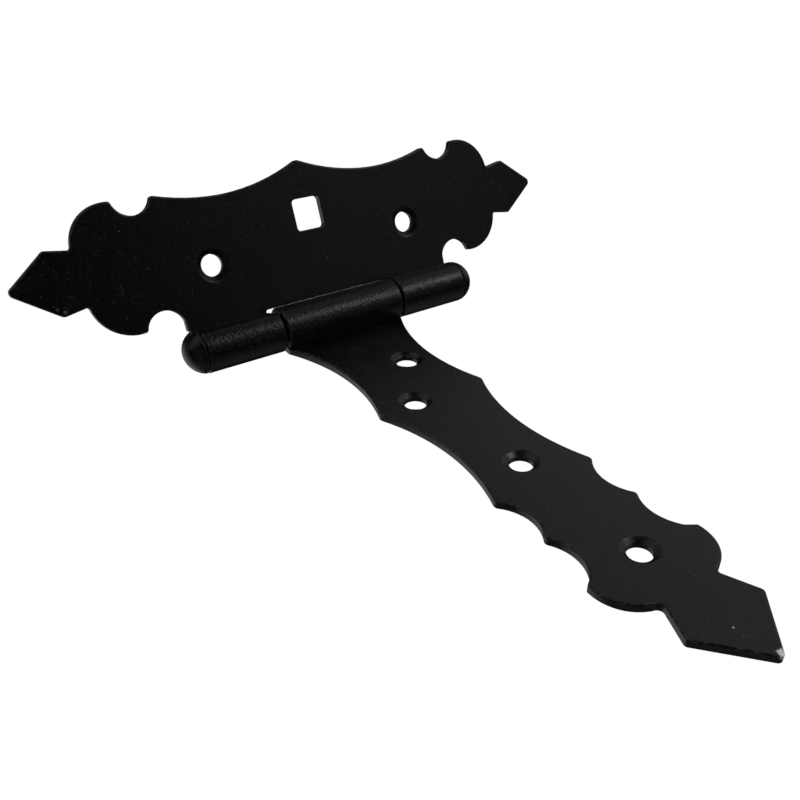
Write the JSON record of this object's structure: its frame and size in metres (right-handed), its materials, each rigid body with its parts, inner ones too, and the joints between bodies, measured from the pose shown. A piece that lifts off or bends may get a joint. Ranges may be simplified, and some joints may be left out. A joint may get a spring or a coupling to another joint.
{
  "type": "ornamental gate hinge",
  "caption": "Ornamental black T-hinge for a gate: a scalloped cross plate and a long scalloped strap with arrow tips turn on a riveted pin.",
  "frame": {"origin": "midway between the two screw holes of the cross plate, on the back face that lies on the post", "axes": "+Z along the hinge pin, upright in use; +Y out of the back of the cross plate, into the post; +X from the cross plate towards the pin and the gate"},
  "size_m": [0.0958, 0.1399, 0.15],
  "materials": {
    "black_coat": "satin black powder coat on stamped steel",
    "black_coat_strap": "satin black powder coat on stamped steel",
    "black_coat_pin": "satin black powder coat on a steel rivet"
  },
  "bodies": {
    "post_leaf": {"cross_plate": "black_coat", "hinge_pin": "black_coat_pin"},
    "gate_leaf": {"strap": "black_coat_strap"}
  },
  "joints": [
    {"name": "pin_turn", "type": "hinge", "parent": "post_leaf", "child": "gate_leaf", "pos_m": [0.019, -0.0056, 0], "axis": [0, 0, -1], "range_deg": [-69.4, 110.6]}
  ]
}
